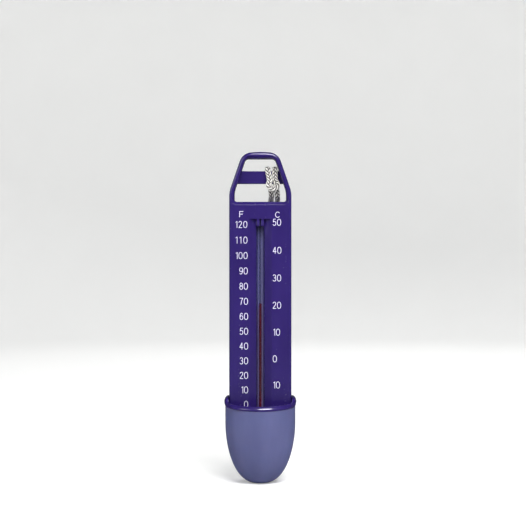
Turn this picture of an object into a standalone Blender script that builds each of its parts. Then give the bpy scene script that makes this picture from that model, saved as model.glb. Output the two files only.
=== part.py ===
"""Scoop-type floating pool thermometer, built as a Blender assembly.

A moulded body with a hand loop at the top carries a glass spirit tube in a V-shaped channel.
A rear cover closes the back of the body to make a float chamber. A cup on the lower end keeps
a sample of water round the bulb. A doubled cord is girth-hitched to the bar inside the loop.

Metres, +Z up along the tube, front towards -Y. The origin is on the flat foot of the cup, in
the middle of the width and in the plane of the printed face.
"""

import math

import bmesh
import bpy
from mathutils import Vector

MM = 0.001

# Overall sizes
TOP_Z = 165.0 * MM
BODY_HALF_WIDTH = 15.6 * MM
BODY_DEPTH = 10.5 * MM
FIT_GAP = 0.3 * MM

# Body moulding
FACE_THICKNESS = 2.0 * MM
WALL = 1.8 * MM
PARTING_Y = 6.3 * MM
TONGUE_Z = 12.0 * MM
LOOP_DEPTH = 8.0 * MM
SHOULDER_Z = 143.2 * MM
SHOULDER_RADIUS = 22.0 * MM
LOOP_CORNER_HALF_WIDTH = 8.2 * MM
LOOP_CORNER_RADIUS = 4.5 * MM
CROWN_RISE = 0.8 * MM
CROWN_RADIUS = 40.0 * MM
EDGE_RADIUS = 1.0 * MM
COVER_TOP_Z = 138.8 * MM
COVER_EDGE_RADIUS = 3.0 * MM
COVER_WALL = 3.0 * MM
COVER_LIP_LENGTH = 1.5 * MM

# Window inside the hand loop
WINDOW_BOTTOM_Z = 140.3 * MM
WINDOW_TOP_Z = 161.6 * MM
WINDOW_HALF_WIDTH = 13.1 * MM
WINDOW_TOP_HALF_WIDTH = 7.7 * MM
WINDOW_SHOULDER_Z = 146.6 * MM

# Tie bar across the window
BAR_Z = 152.45 * MM
BAR_HEIGHT = 6.5 * MM
BAR_FRONT_Y = 5.0 * MM
BAR_THICKNESS = 2.5 * MM
BAR_EDGE_RADIUS = 0.4 * MM
BAR_HALF_LENGTH_LOW = 13.3 * MM
BAR_HALF_LENGTH_HIGH = 11.1 * MM

# Channel, rib and fingers that hold the glass tube
TUBE_Y = 2.9 * MM
CHANNEL_HALF_WIDTH = 5.2 * MM
CHANNEL_DEPTH = 2.0 * MM
CHANNEL_TOP_Z = 131.3 * MM
GROOVE_RADIUS = 2.3 * MM
SOCKET_TOP_Z = 136.1 * MM
RIB_HALF_WIDTH = 4.8 * MM
FINGER_INNER_X = 0.35 * MM
FINGER_OUTER_X = 1.75 * MM
FINGER_LENGTH = 3.7 * MM
FINGER_THICKNESS = 0.7 * MM

# Glass tube and spirit
TUBE_RADIUS = 2.0 * MM
BORE_RADIUS = 0.6 * MM
BULB_RADIUS = 2.6 * MM
BULB_BOTTOM_Z = 13.2 * MM
BULB_TOP_Z = 24.0 * MM
NECK_LENGTH = 2.5 * MM
TUBE_TOP_Z = 133.6 * MM
GLASS_WALL = 0.7 * MM
SPIRIT_CLEARANCE = 0.1 * MM
ZERO_F_Z = 38.7 * MM
Z_PER_DEGREE_F = 0.749 * MM
READING_F = 67.2

# Cup
CUP_HALF_WIDTH = 17.5 * MM
CUP_FRONT_DEPTH = 16.0 * MM
CUP_WALL = 1.6 * MM
CUP_BACK_DEPTH = BODY_DEPTH + FIT_GAP + CUP_WALL
CUP_CORNER_RADIUS = COVER_EDGE_RADIUS + FIT_GAP + CUP_WALL
CUP_BELLY_Z = 29.4 * MM
CUP_RIM_Z = 42.2 * MM
CUP_RIM_SLOPE = 0.08
CUP_EAR_HEIGHT = 1.8 * MM
CUP_EAR_REACH = 5.0 * MM
CUP_BACK_CURVE_Z = 10.0 * MM
FOOT_CUT = 0.6 * MM

# Cord
CORD_RADIUS = 1.2 * MM
CORD_X = 5.6 * MM
CORD_LEAN = 1.2 * MM
STRAND_HALF_GAP = 1.75 * MM
CORD_BACK_Y = 12.4 * MM
SWING_Z = 141.8 * MM
BEND_Z = 100.0 * MM
STRAND_END_Z = 63.0 * MM
KNOT_Z = 58.2 * MM
KNOT_HALF_SIZE = (4.2 * MM, 3.0 * MM, 4.2 * MM)
TIP_END_Z = 49.0 * MM

ARC_STEP = math.radians(15)
TURN_STEPS = 24


# Materials -------------------------------------------------------------------------------

def plastic(name, colour, roughness, alpha=1.0, transmission=0.0):
    """A Principled material; every part of this object is a non-metal."""
    material = bpy.data.materials.new(name)
    material.use_nodes = True
    shader = material.node_tree.nodes["Principled BSDF"]
    shader.inputs["Base Color"].default_value = (*colour, 1.0)
    shader.inputs["Roughness"].default_value = roughness
    shader.inputs["Metallic"].default_value = 0.0
    shader.inputs["Alpha"].default_value = alpha
    shader.inputs["Transmission Weight"].default_value = transmission
    return material


# Outlines --------------------------------------------------------------------------------

def rounded(corners):
    """Points of a closed outline whose corners (x, z, radius) are replaced by arcs."""
    points = []
    for i, (x, z, radius) in enumerate(corners):
        here = Vector((x, z))
        if radius == 0:
            points.append(here)
            continue
        before = (Vector(corners[i - 1][:2]) - here).normalized()
        after = (Vector(corners[(i + 1) % len(corners)][:2]) - here).normalized()
        half = before.angle(after) / 2
        centre = here + (before + after).normalized() * radius / math.sin(half)
        start = here + before * radius / math.tan(half) - centre
        end = here + after * radius / math.tan(half) - centre
        turn = start.angle_signed(end)
        steps = max(2, math.ceil(abs(turn) / ARC_STEP))
        for k in range(steps + 1):
            angle = -turn * k / steps
            arm = Vector((start.x * math.cos(angle) - start.y * math.sin(angle),
                          start.x * math.sin(angle) + start.y * math.cos(angle)))
            points.append(centre + arm)
    return points


def both_sides(right, top=()):
    """Corners of a symmetric outline: the right side upwards, the top, the left side down."""
    left = [(-x, z, radius) for x, z, radius in reversed(right)]
    return rounded([*right, *top, *left])


def cup_share(z):
    """The cup's width at height z as a share of its greatest width."""
    height = CUP_BELLY_Z + FOOT_CUT
    drop = min(1.0, max(0.0, (CUP_BELLY_Z - z) / height))
    return (1 - drop ** 1.85) ** (1 / 2.6)


def tongue_half_width(z):
    """The body's half width where it narrows to stay inside the cup."""
    clear = CUP_HALF_WIDTH * cup_share(z - 1.5 * MM) - CUP_WALL - FIT_GAP
    return min(BODY_HALF_WIDTH, clear)


def tongue_side(inset):
    """Right-hand corners of the body from its lower end to where it reaches full width."""
    heights = [TONGUE_Z + inset + step * 3.6 * MM for step in range(6)]
    side = [(tongue_half_width(z) - inset, z, 0) for z in heights]
    side[0] = (side[0][0], side[0][1], max(0.6 * MM, 2.0 * MM - inset))
    return side


def body_outline():
    corner_z = TOP_Z - CROWN_RISE
    right = tongue_side(0) + [
        (BODY_HALF_WIDTH, SHOULDER_Z, SHOULDER_RADIUS),
        (LOOP_CORNER_HALF_WIDTH, corner_z, LOOP_CORNER_RADIUS),
    ]
    return both_sides(right, [(0, TOP_Z + 0.1 * MM, CROWN_RADIUS)])


def window_outline():
    return both_sides([
        (WINDOW_HALF_WIDTH, WINDOW_BOTTOM_Z, 1.2 * MM),
        (WINDOW_HALF_WIDTH, WINDOW_SHOULDER_Z, 12.0 * MM),
        (WINDOW_TOP_HALF_WIDTH, WINDOW_TOP_Z, 1.8 * MM),
    ])


def chamber_outline(inset, top_z):
    """Outline of the body below the window, drawn in by inset."""
    right = tongue_side(inset)
    right.append((BODY_HALF_WIDTH - inset, top_z - inset, max(0.8 * MM, 3.0 * MM - inset)))
    return both_sides(right)


# Building blocks -------------------------------------------------------------------------

def new_collection(name):
    collection = bpy.data.collections.new(name)
    bpy.context.scene.collection.children.link(collection)
    return collection


def mesh_object(name, mesh, collection, material=None):
    obj = bpy.data.objects.new(name, mesh)
    collection.objects.link(obj)
    if material:
        mesh.materials.clear()
        mesh.materials.append(material)
    return obj


def smooth(obj, degrees=35):
    obj.data.shade_smooth()
    obj.data.set_sharp_from_angle(angle=math.radians(degrees))


def baked(obj):
    """The object's evaluated shape, welded, as a new mesh in world space."""
    bpy.context.view_layer.update()
    evaluated = obj.evaluated_get(bpy.context.evaluated_depsgraph_get())
    mesh = bpy.data.meshes.new_from_object(evaluated)
    mesh.transform(obj.matrix_world)
    work = bmesh.new()
    work.from_mesh(mesh)
    bmesh.ops.remove_doubles(work, verts=work.verts, dist=1e-6)
    bmesh.ops.recalc_face_normals(work, faces=work.faces)
    work.to_mesh(mesh)
    work.free()
    bpy.data.objects.remove(obj)
    return mesh


def plate_mesh(outlines, front_y, back_y, edge_radius=0.0):
    """A flat plate in the XZ plane from closed outlines; the second one is a hole."""
    curve = bpy.data.curves.new("outline", "CURVE")
    curve.dimensions = "2D"
    curve.fill_mode = "BOTH"
    curve.extrude = (back_y - front_y) / 2 - edge_radius
    curve.bevel_depth = edge_radius
    curve.bevel_resolution = 2
    curve.offset = -edge_radius
    for outline in outlines:
        spline = curve.splines.new("POLY")
        spline.points.add(len(outline) - 1)
        spline.use_cyclic_u = True
        for point, (x, z) in zip(spline.points, outline):
            point.co = (x, z, 0, 1)
    obj = bpy.data.objects.new("outline", curve)
    obj.rotation_euler = (math.radians(90), 0, 0)
    obj.location = (0, (front_y + back_y) / 2, 0)
    bpy.context.scene.collection.objects.link(obj)
    return baked(obj)


def box_mesh(low, high):
    """A box between two corners."""
    work = bmesh.new()
    bmesh.ops.create_cube(work, size=1)
    size = Vector(high) - Vector(low)
    middle = (Vector(high) + Vector(low)) / 2
    bmesh.ops.scale(work, vec=size, verts=work.verts)
    bmesh.ops.translate(work, vec=middle, verts=work.verts)
    mesh = bpy.data.meshes.new("box")
    work.to_mesh(mesh)
    work.free()
    return mesh


def rod_mesh(radius, centre, low_z, high_z):
    """An upright round rod centred on (x, y)."""
    work = bmesh.new()
    bmesh.ops.create_cone(work, cap_ends=True, segments=TURN_STEPS,
                          radius1=radius, radius2=radius, depth=high_z - low_z)
    bmesh.ops.translate(work, vec=(*centre, (low_z + high_z) / 2), verts=work.verts)
    mesh = bpy.data.meshes.new("rod")
    work.to_mesh(mesh)
    work.free()
    return mesh


def turned_mesh(profile, centre):
    """A solid turned about the vertical line through centre (x, y).

    The profile's points (radius, z) run down the outer side, from axis to axis."""
    mesh = bpy.data.meshes.new("profile")
    edges = [(i, i + 1) for i in range(len(profile) - 1)]
    mesh.from_pydata([(radius, 0, z) for radius, z in profile], edges, [])
    obj = bpy.data.objects.new("profile", mesh)
    obj.location = (*centre, 0)
    bpy.context.scene.collection.objects.link(obj)
    screw = obj.modifiers.new("turn", "SCREW")
    screw.steps = TURN_STEPS
    screw.render_steps = TURN_STEPS
    screw.use_merge_vertices = True
    screw.merge_threshold = 1e-6
    return baked(obj)


def tube_mesh(path, radius):
    """A round tube along a list of points, closed by flat caps."""
    curve = bpy.data.curves.new("path", "CURVE")
    curve.dimensions = "3D"
    curve.bevel_depth = radius
    curve.bevel_resolution = 2
    curve.use_fill_caps = True
    spline = curve.splines.new("POLY")
    spline.points.add(len(path) - 1)
    for point, place in zip(spline.points, path):
        point.co = (*place, 1)
    obj = bpy.data.objects.new("path", curve)
    bpy.context.scene.collection.objects.link(obj)
    return baked(obj)


def arc(centre, radius, start, end, steps=4):
    """Points (radius, z) of an arc in a turned profile, angles in degrees from +radius."""
    angles = [math.radians(start + (end - start) * k / steps) for k in range(steps + 1)]
    return [(centre[0] + radius * math.cos(a), centre[1] + radius * math.sin(a)) for a in angles]


def cut_or_join(obj, other_mesh, operation, cutters):
    """Adds one Boolean to obj; the other shape is a hidden helper."""
    helper = mesh_object(f"{obj.name}_{operation.lower()}_{len(obj.modifiers)}", other_mesh, cutters)
    helper.hide_render = True
    helper.display_type = "WIRE"
    modifier = obj.modifiers.new(helper.name, "BOOLEAN")
    modifier.operation = operation
    modifier.object = helper


def through_points(points, per_span):
    """A smooth Catmull-Rom line through the points."""
    padded = [2 * points[0] - points[1], *points, 2 * points[-1] - points[-2]]
    line = []
    for a, b, c, d in zip(padded, padded[1:], padded[2:], padded[3:]):
        for k in range(per_span):
            t = k / per_span
            line.append(0.5 * (2 * b + (c - a) * t + (2 * a - 5 * b + 4 * c - d) * t ** 2
                               + (3 * b - a - 3 * c + d) * t ** 3))
    return [*line, points[-1]]


# Body ------------------------------------------------------------------------------------

def channel_mesh():
    """Cutter for the V-shaped channel: a prism along Z with sloping sides."""
    floor = GROOVE_RADIUS - 0.1 * MM
    front_y = -1.0 * MM
    flare = (CHANNEL_HALF_WIDTH - floor) / CHANNEL_DEPTH
    front = CHANNEL_HALF_WIDTH - flare * front_y
    mesh = box_mesh((-1, front_y, 0), (1, CHANNEL_DEPTH, CHANNEL_TOP_Z))
    for vertex in mesh.vertices:
        half_width = front if vertex.co.y < 0 else floor
        vertex.co.x = math.copysign(half_width, vertex.co.x)
    return mesh


def make_front_frame(parts, cutters, material):
    outlines = [body_outline(), window_outline()]
    frame = mesh_object("front_frame", plate_mesh(outlines, 0, LOOP_DEPTH, EDGE_RADIUS), parts, material)
    beyond = 20 * MM
    behind = box_mesh((-beyond, PARTING_Y, 0), (beyond, beyond, COVER_TOP_Z + FIT_GAP))
    cut_or_join(frame, behind, "DIFFERENCE", cutters)
    hollow = plate_mesh([chamber_outline(WALL, COVER_TOP_Z)], FACE_THICKNESS, beyond)
    cut_or_join(frame, hollow, "DIFFERENCE", cutters)
    rib = box_mesh((-RIB_HALF_WIDTH, FACE_THICKNESS / 2, TONGUE_Z + WALL / 2),
                   (RIB_HALF_WIDTH, PARTING_Y, COVER_TOP_Z - WALL / 2))
    cut_or_join(frame, rib, "UNION", cutters)
    cut_or_join(frame, channel_mesh(), "DIFFERENCE", cutters)
    groove = rod_mesh(GROOVE_RADIUS, (0, TUBE_Y), 0, SOCKET_TOP_Z)
    cut_or_join(frame, groove, "DIFFERENCE", cutters)
    bulb_seat = rod_mesh(BULB_RADIUS + FIT_GAP, (0, TUBE_Y), 0, BULB_TOP_Z + NECK_LENGTH)
    cut_or_join(frame, bulb_seat, "DIFFERENCE", cutters)
    finger_low = CHANNEL_TOP_Z - FINGER_LENGTH
    finger_back = TUBE_Y - TUBE_RADIUS - FIT_GAP
    for side in (-1, 1):
        inner, outer = sorted((side * FINGER_INNER_X, side * FINGER_OUTER_X))
        finger = box_mesh((inner, finger_back - FINGER_THICKNESS, finger_low),
                          (outer, finger_back, CHANNEL_TOP_Z + FIT_GAP))
        cut_or_join(frame, finger, "UNION", cutters)
    bar_outline = both_sides([(BAR_HALF_LENGTH_LOW, BAR_Z - BAR_HEIGHT / 2, 0),
                              (BAR_HALF_LENGTH_HIGH, BAR_Z + BAR_HEIGHT / 2, 0)])
    bar = plate_mesh([bar_outline], BAR_FRONT_Y, BAR_FRONT_Y + BAR_THICKNESS, BAR_EDGE_RADIUS)
    cut_or_join(frame, bar, "UNION", cutters)
    smooth(frame)


def make_rear_cover(parts, cutters, material):
    """A tray with a rounded back, and a lip that laps inside the body's walls."""
    front_y = PARTING_Y + FIT_GAP
    ahead = -10 * MM
    outline = [chamber_outline(0, COVER_TOP_Z)]
    cover = mesh_object("rear_cover", plate_mesh(outline, ahead, BODY_DEPTH, COVER_EDGE_RADIUS), parts, material)
    beyond = 20 * MM
    before = box_mesh((-beyond, 2 * ahead, 0), (beyond, front_y, TOP_Z))
    cut_or_join(cover, before, "DIFFERENCE", cutters)
    lip_front_y = front_y - COVER_LIP_LENGTH
    lip = plate_mesh([chamber_outline(WALL + FIT_GAP, COVER_TOP_Z)], lip_front_y, BODY_DEPTH - WALL)
    cut_or_join(cover, lip, "UNION", cutters)
    hollow = plate_mesh([chamber_outline(COVER_WALL, COVER_TOP_Z)], ahead, BODY_DEPTH - WALL - 0.4 * MM)
    cut_or_join(cover, hollow, "DIFFERENCE", cutters)
    notch = box_mesh((-RIB_HALF_WIDTH - FIT_GAP, 0, 0), (RIB_HALF_WIDTH + FIT_GAP, front_y, TOP_Z))
    cut_or_join(cover, notch, "DIFFERENCE", cutters)
    smooth(cover)


# Cup -------------------------------------------------------------------------------------

def cup_ring(z):
    """One level of the cup: half an ellipse in front, a round-cornered box behind."""
    half_width = CUP_HALF_WIDTH * cup_share(z)
    front = CUP_FRONT_DEPTH * cup_share(z)
    drop = max(0.0, (CUP_BACK_CURVE_Z - z) / (CUP_BACK_CURVE_Z + FOOT_CUT))
    back = CUP_BACK_DEPTH * (1 - drop ** 2) ** (1 / 3)
    radius = CUP_CORNER_RADIUS * cup_share(z)
    ring = []
    for k in range(25):
        angle = math.pi * k / 24
        ring.append((-half_width * math.cos(angle), -front * math.sin(angle)))
    for side, start in ((1, 0), (-1, 90)):
        for k in range(6):
            angle = math.radians(start + 90 * k / 5)
            ring.append((side * (half_width - radius) + radius * math.cos(angle),
                         back - radius + radius * math.sin(angle)))
    return ring


def rim_height(y):
    """The rim has an ear on each side by the body, and dips a little towards the front."""
    forward = max(0.0, -y)
    ease = min(1.0, forward / CUP_EAR_REACH)
    return CUP_RIM_Z - CUP_EAR_HEIGHT * ease * ease * (3 - 2 * ease) - CUP_RIM_SLOPE * forward


def cup_mesh():
    """The cup's outer skin, open at the rim."""
    below = [CUP_BELLY_Z * (1 - math.cos(math.pi / 2 * k / 9)) for k in range(10)]
    levels = [(z, 0.0) for z in below] + [(CUP_BELLY_Z, share) for share in (0.5, 1.0)]
    rings = []
    for z, share in levels:
        ring = []
        for x, y in cup_ring(z):
            ring.append((x, y, z + share * (rim_height(y) - z)))
        rings.append(ring)
    count = len(rings[0])
    vertices = [point for ring in rings for point in ring]
    faces = [tuple(range(count - 1, -1, -1))]
    for level in range(len(rings) - 1):
        for k in range(count):
            a = level * count + k
            b = level * count + (k + 1) % count
            faces.append((a, b, b + count, a + count))
    mesh = bpy.data.meshes.new("scoop_cup")
    mesh.from_pydata(vertices, [], faces)
    return mesh


def make_scoop_cup(parts, material):
    cup = mesh_object("scoop_cup", cup_mesh(), parts, material)
    shell = cup.modifiers.new("wall", "SOLIDIFY")
    shell.thickness = CUP_WALL
    shell.offset = -1
    shell.use_even_offset = True
    lip = cup.modifiers.new("lip", "BEVEL")
    lip.limit_method = "ANGLE"
    lip.angle_limit = math.radians(60)
    lip.width = 0.6 * MM
    lip.segments = 2
    smooth(cup)


# Glass and spirit ------------------------------------------------------------------------

def bulb_profile(radius, bottom_z, top_z, neck_radius):
    """Profile of a round-ended bulb, from its neck down to the axis."""
    neck = [(neck_radius, top_z + NECK_LENGTH), (radius, top_z)]
    return neck + [*arc((0, bottom_z + radius), radius, 0, -85, 5), (0, bottom_z)]


def make_glass_tube(parts, material):
    """One glass piece; its bore stays open at the top, inside the body's socket."""
    dome = arc((TUBE_RADIUS - 1.2 * MM, TUBE_TOP_Z - 1.2 * MM), 1.2 * MM, 90, 0)
    outside = bulb_profile(BULB_RADIUS, BULB_BOTTOM_Z, BULB_TOP_Z, TUBE_RADIUS)
    inside = bulb_profile(BULB_RADIUS - GLASS_WALL, BULB_BOTTOM_Z + GLASS_WALL, BULB_TOP_Z, BORE_RADIUS)
    profile = [*reversed(inside), (BORE_RADIUS, TUBE_TOP_Z), *dome, *outside]
    mesh_object("glass_tube", turned_mesh(profile, (0, TUBE_Y)), parts, material)
    smooth(parts.objects["glass_tube"])


def make_spirit(parts, material):
    gap = SPIRIT_CLEARANCE
    radius = BORE_RADIUS - gap
    cavity_top = BULB_TOP_Z + NECK_LENGTH
    bulb = bulb_profile(BULB_RADIUS - GLASS_WALL - gap, BULB_BOTTOM_Z + GLASS_WALL + gap, BULB_TOP_Z - gap, radius)
    mesh_object("bulb_spirit", turned_mesh([(0, bulb[0][1]), *bulb], (0, TUBE_Y)), parts, material)
    level = ZERO_F_Z + READING_F * Z_PER_DEGREE_F
    low = cavity_top + FIT_GAP
    thread = [(0, level), (radius, level), (radius, low), (0, low)]
    mesh_object("spirit_thread", turned_mesh(thread, (0, TUBE_Y)), parts, material)
    for name in ("bulb_spirit", "spirit_thread"):
        smooth(parts.objects[name])


def make_tube_cushion(parts, material):
    """A soft plug between the tube's top and the end of its socket."""
    mesh = rod_mesh(TUBE_RADIUS - 0.1 * MM, (0, TUBE_Y), TUBE_TOP_Z + FIT_GAP, SOCKET_TOP_Z - FIT_GAP)
    smooth(mesh_object("tube_cushion", mesh, parts, material))


def make_tube_retainer(parts, material):
    """A bar across the channel, inside the cup, that keeps the tube's lower end in."""
    mesh = box_mesh((-6.5 * MM, -1.5 * MM, 29.0 * MM), (6.5 * MM, -FIT_GAP, 33.0 * MM))
    retainer = mesh_object("tube_retainer", mesh, parts, material)
    edge = retainer.modifiers.new("edge", "BEVEL")
    edge.width = 0.4 * MM
    edge.segments = 2
    smooth(retainer)


# Cord ------------------------------------------------------------------------------------

def hitch_path():
    """Centre line of the girth hitch, from one tail round the bar to the other tail."""
    clear = CORD_RADIUS + 0.2 * MM
    front = BAR_FRONT_Y - clear
    back = BAR_FRONT_Y + BAR_THICKNESS + clear
    over = BAR_Z + BAR_HEIGHT / 2 + clear
    under = BAR_Z - BAR_HEIGHT / 2
    slant = clear * math.sin(math.radians(45))
    near, far = BAR_FRONT_Y - slant, BAR_FRONT_Y + BAR_THICKNESS + slant
    top = BAR_Z + BAR_HEIGHT / 2 + slant
    leg = STRAND_HALF_GAP + 0.2 * MM
    loose = 0.1 * MM
    half = [
        (0, front - 0.6 * MM, under - 2.6 * MM),
        (1.5 * MM, front - 0.5 * MM, under - 2.4 * MM),
        (2.5 * MM, front - 0.1 * MM, under - 1.0 * MM),
        (2.2 * MM, front - loose, under + 1.0 * MM),
        (leg, front - loose, BAR_Z),
        (leg, front, BAR_Z + 2.4 * MM),
        (leg, near, top + loose),
        (leg, BAR_FRONT_Y + BAR_THICKNESS / 2, over + loose),
        (leg, far, top + loose),
        (leg, back, BAR_Z + 2.4 * MM),
        (leg, back + loose, BAR_Z),
        (leg, back, under + 0.6 * MM),
        (1.7 * MM, far - 0.4 * MM, under - 1.1 * MM),
        (1.4 * MM, 6.5 * MM, under - 2.6 * MM),
        (1.4 * MM, 6.5 * MM, under - 4.6 * MM),
        (1.5 * MM, 7.1 * MM, SWING_Z + 1.1 * MM),
        (1.6 * MM, 8.6 * MM, SWING_Z + 0.3 * MM),
    ]
    right = [Vector(point) for point in half]
    left = [Vector((-p.x, p.y, p.z)) for p in reversed(right[1:])]
    line = through_points(left + right, 4)
    swing = Vector((STRAND_HALF_GAP, CORD_BACK_Y, SWING_Z))
    stand_off = CORD_RADIUS + FIT_GAP
    end = line[-1]
    aim = (swing - end).normalized()
    last = swing - aim * stand_off
    line = [Vector((-last.x, last.y, last.z)), *line, last]
    lean_from = under - 3.0 * MM
    lean_over = lean_from - SWING_Z
    for point in line:
        share = min(1.0, max(0.0, (lean_from - point.z) / lean_over))
        point.x += CORD_X + CORD_LEAN * share
    return line


def strand_mesh(side, top_z, bottom_z):
    """A straight strand whose round top end is centred on its hinge."""
    x = CORD_X + CORD_LEAN + side * STRAND_HALF_GAP
    profile = [*arc((0, top_z), CORD_RADIUS, 90, 0), (CORD_RADIUS, bottom_z), (0, bottom_z)]
    return turned_mesh(profile, (x, CORD_BACK_Y))


def make_end_knot(parts, cutters, material):
    """The stopper knot that joins the two strands, with two short cut ends."""
    x = CORD_X + CORD_LEAN
    work = bmesh.new()
    bmesh.ops.create_uvsphere(work, u_segments=16, v_segments=12, radius=1)
    bmesh.ops.scale(work, vec=KNOT_HALF_SIZE, verts=work.verts)
    knot_y = BODY_DEPTH + FIT_GAP + KNOT_HALF_SIZE[1]
    bmesh.ops.translate(work, vec=(x, knot_y, KNOT_Z), verts=work.verts)
    mesh = bpy.data.meshes.new("cord_end_knot")
    work.to_mesh(mesh)
    work.free()
    knot = mesh_object("cord_end_knot", mesh, parts, material)
    for side in (-1, 1):
        tip = rod_mesh(CORD_RADIUS, (x + side * STRAND_HALF_GAP, CORD_BACK_Y), TIP_END_Z, KNOT_Z)
        cut_or_join(knot, tip, "UNION", cutters)
    return knot


def on_joint(obj, pivot, axes):
    """Parents a moving piece to an empty on its joint's axis; one joint has one empty."""
    name = f"axis_{pivot}"
    if name not in bpy.data.objects:
        empty = bpy.data.objects.new(name, None)
        empty.location = axes[pivot]
        bpy.context.scene.collection.objects.link(empty)
    empty = bpy.data.objects[name]
    obj.data.transform(empty.matrix_basis.inverted())
    obj.parent = empty


def make_cord(parts, cutters, material):
    axes = {
        "hitch_slide": (CORD_X, BAR_FRONT_Y + BAR_THICKNESS / 2, BAR_Z),
        "cord_swing": (CORD_X + CORD_LEAN, CORD_BACK_Y, SWING_Z),
        "cord_bend": (CORD_X + CORD_LEAN, CORD_BACK_Y, BEND_Z),
    }
    hitch = mesh_object("cord_hitch", tube_mesh(hitch_path(), CORD_RADIUS), parts, material)
    on_joint(hitch, "hitch_slide", axes)
    stand_off = CORD_RADIUS + FIT_GAP
    for side, word in ((-1, "left"), (1, "right")):
        upper = strand_mesh(side, SWING_Z, BEND_Z + stand_off)
        on_joint(mesh_object(f"cord_upper_{word}", upper, parts, material), "cord_swing", axes)
        lower = strand_mesh(side, BEND_Z, STRAND_END_Z)
        on_joint(mesh_object(f"cord_lower_{word}", lower, parts, material), "cord_bend", axes)
    on_joint(make_end_knot(parts, cutters, material), "cord_bend", axes)
    for obj in parts.objects:
        if obj.name.startswith("cord"):
            smooth(obj)


def main():
    for obj in list(bpy.data.objects):
        bpy.data.objects.remove(obj)
    parts = new_collection("pool_thermometer")
    cutters = new_collection("cutters")
    deep_blue = plastic("deep_blue_plastic", (0.030, 0.018, 0.150), 0.32)
    pale_blue = plastic("tinted_cup_plastic", (0.105, 0.122, 0.290), 0.30)
    clear_glass = plastic("clear_glass", (0.85, 0.90, 0.95), 0.03, alpha=0.35, transmission=1.0)
    red_spirit = plastic("red_spirit", (0.110, 0.006, 0.012), 0.15)
    white_cord = plastic("white_cord", (0.62, 0.60, 0.57), 0.55)
    soft_clear = plastic("soft_cushion", (0.45, 0.47, 0.50), 0.6)
    make_front_frame(parts, cutters, deep_blue)
    make_rear_cover(parts, cutters, deep_blue)
    make_scoop_cup(parts, pale_blue)
    make_glass_tube(parts, clear_glass)
    make_spirit(parts, red_spirit)
    make_tube_cushion(parts, soft_clear)
    make_tube_retainer(parts, deep_blue)
    make_cord(parts, cutters, white_cord)


main()
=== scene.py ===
"""Looks for the pool thermometer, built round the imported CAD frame. Metres, +Z up, front -Y."""
import math

import bmesh
import bpy
import numpy as np
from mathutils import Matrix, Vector


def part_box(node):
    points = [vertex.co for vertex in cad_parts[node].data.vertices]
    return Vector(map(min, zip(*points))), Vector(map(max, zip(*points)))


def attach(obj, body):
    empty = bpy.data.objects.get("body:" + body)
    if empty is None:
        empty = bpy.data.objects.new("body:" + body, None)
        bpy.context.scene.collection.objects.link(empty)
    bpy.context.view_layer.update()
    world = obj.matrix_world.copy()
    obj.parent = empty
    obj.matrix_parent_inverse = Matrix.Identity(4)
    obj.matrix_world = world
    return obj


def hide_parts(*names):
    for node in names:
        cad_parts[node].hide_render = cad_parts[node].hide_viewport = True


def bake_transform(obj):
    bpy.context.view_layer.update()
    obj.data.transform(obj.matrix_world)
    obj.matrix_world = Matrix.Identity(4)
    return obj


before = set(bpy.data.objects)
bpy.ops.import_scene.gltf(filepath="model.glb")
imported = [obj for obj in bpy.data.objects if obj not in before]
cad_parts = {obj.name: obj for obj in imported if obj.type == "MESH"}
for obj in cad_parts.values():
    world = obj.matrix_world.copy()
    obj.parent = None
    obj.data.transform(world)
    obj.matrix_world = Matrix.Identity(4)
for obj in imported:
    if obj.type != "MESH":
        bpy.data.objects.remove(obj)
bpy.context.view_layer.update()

MM = 0.001

# Sizes read from the CAD frame
FRAME_LO, FRAME_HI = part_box("front_frame")
CUP_LO, CUP_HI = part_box("scoop_cup")
TUBE_LO, TUBE_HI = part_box("glass_tube")
THREAD_LO, THREAD_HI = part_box("spirit_thread")
STRAND_LO, STRAND_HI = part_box("cord_lower_left")
RETAINER_LO, RETAINER_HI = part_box("tube_retainer")
CUSHION_LO, CUSHION_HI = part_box("tube_cushion")
COVER_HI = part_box("rear_cover")[1]
BULB_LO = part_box("bulb_spirit")[0]

BODY_HALF_WIDTH = FRAME_HI[0]
BODY_BOTTOM_Z = FRAME_LO[2]
BODY_TOP_Z = FRAME_HI[2]
LOOP_DEPTH = 8.0 * MM
PARTING_Y = COVER_HI[1] - 4.2 * MM
COVER_TOP_Z = COVER_HI[2]
COVER_BACK_Y = COVER_HI[1]
COVER_EDGE_RADIUS = 3.0 * MM
FIT_GAP = 0.3 * MM
WALL = 1.8 * MM
FACE_THICKNESS = 2.0 * MM
CHAMBER_CORNER = 1.2 * MM
BEYOND = 20 * MM  # clear of the body on every side, for cutters
TUBE_Y = (TUBE_LO[1] + TUBE_HI[1]) / 2
TUBE_RADIUS = 2.0 * MM
TUBE_END_RADIUS = 1.2 * MM
BORE_RADIUS = 0.6 * MM
SPIRIT_GAP = 0.05 * MM
BULB_RADIUS = (TUBE_HI[0] - TUBE_LO[0]) / 2
BULB_TOP_Z = 24.0 * MM
NECK_LENGTH = 2.5 * MM
GLASS_WALL = 0.7 * MM

CHANNEL_HALF_WIDTH = 5.7 * MM
CHANNEL_DEPTH = 2.0 * MM
CHANNEL_EDGE_RADIUS = 0.35 * MM
CHANNEL_TOP_Z = 131.3 * MM
CHANNEL_OPENING = 9 * MM
GROOVE_RADIUS = 2.3 * MM
SOCKET_TOP_Z = 136.1 * MM
RIB_HALF_WIDTH = 4.8 * MM
FINGER_OFFSET = 1.12 * MM
# Height, half width and depth of a finger's sections in mm, from its root to its tip
FINGER_SECTIONS = [(132.3, 0.70, 0.14), (131.2, 0.70, 0.16), (130.4, 0.72, 0.20), (129.8, 0.75, 0.27),
                   (129.2, 0.78, 0.38), (128.7, 0.80, 0.51), (128.3, 0.79, 0.56), (128.0, 0.74, 0.52),
                   (127.75, 0.62, 0.38), (127.6, 0.42, 0.24), (127.54, 0.16, 0.12)]

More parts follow.
